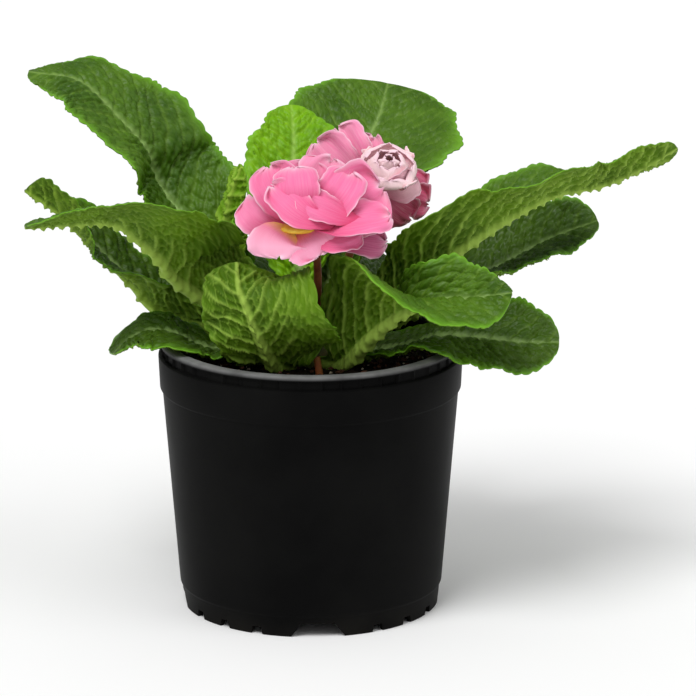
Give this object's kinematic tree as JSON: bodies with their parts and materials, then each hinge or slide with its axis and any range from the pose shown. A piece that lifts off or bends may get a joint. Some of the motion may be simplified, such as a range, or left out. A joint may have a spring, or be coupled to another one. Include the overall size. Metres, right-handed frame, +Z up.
{
  "type": "potted primrose",
  "caption": "Flowering double primrose in a black nursery pot, with crinkled green leaves and pink ruffled blooms.",
  "frame": {"origin": "bottom centre of the part's whole bounding box, on the surface the pot stands on", "axes": "+X to the right as the plant is seen in the picture, +Y away from the viewer, +Z up"},
  "size_m": [0.2238, 0.1444, 0.1819],
  "materials": {
    "pot": "satin black moulded plastic",
    "soil": "damp dark potting soil",
    "crown": "fleshy green-brown",
    "leaf": "bullate green leaf, paler below",
    "young_leaf": "fresh yellow-green leaf",
    "petal": "soft pink petal",
    "petal_pale": "soft pale pink petal",
    "eye": "yellow throat",
    "stalk": "reddish stalk and calyx",
    "bud": "dry brown bud"
  },
  "bodies": {
    "root": {"pot": "pot", "soil": "soil", "crown": "crown", "leaf_01": "leaf", "leaf_02": "leaf", "leaf_03": "leaf", "leaf_04": "leaf", "leaf_05": "leaf", "leaf_06": "leaf", "leaf_07": "leaf", "leaf_08": "leaf", "leaf_09": "leaf", "leaf_10": "young_leaf", "leaf_11": "leaf", "leaf_12": "young_leaf", "leaf_13": "leaf", "leaf_14": "leaf", "leaf_15": "leaf", "bloom_front_petals": "petal", "bloom_front_eye": "eye", "bloom_front_stalk": "stalk", "bloom_back_petals": "petal_pale", "bloom_back_stalk": "stalk", "spent_bud": "bud", "stalk_stub": "stalk"}
  },
  "joints": []
}
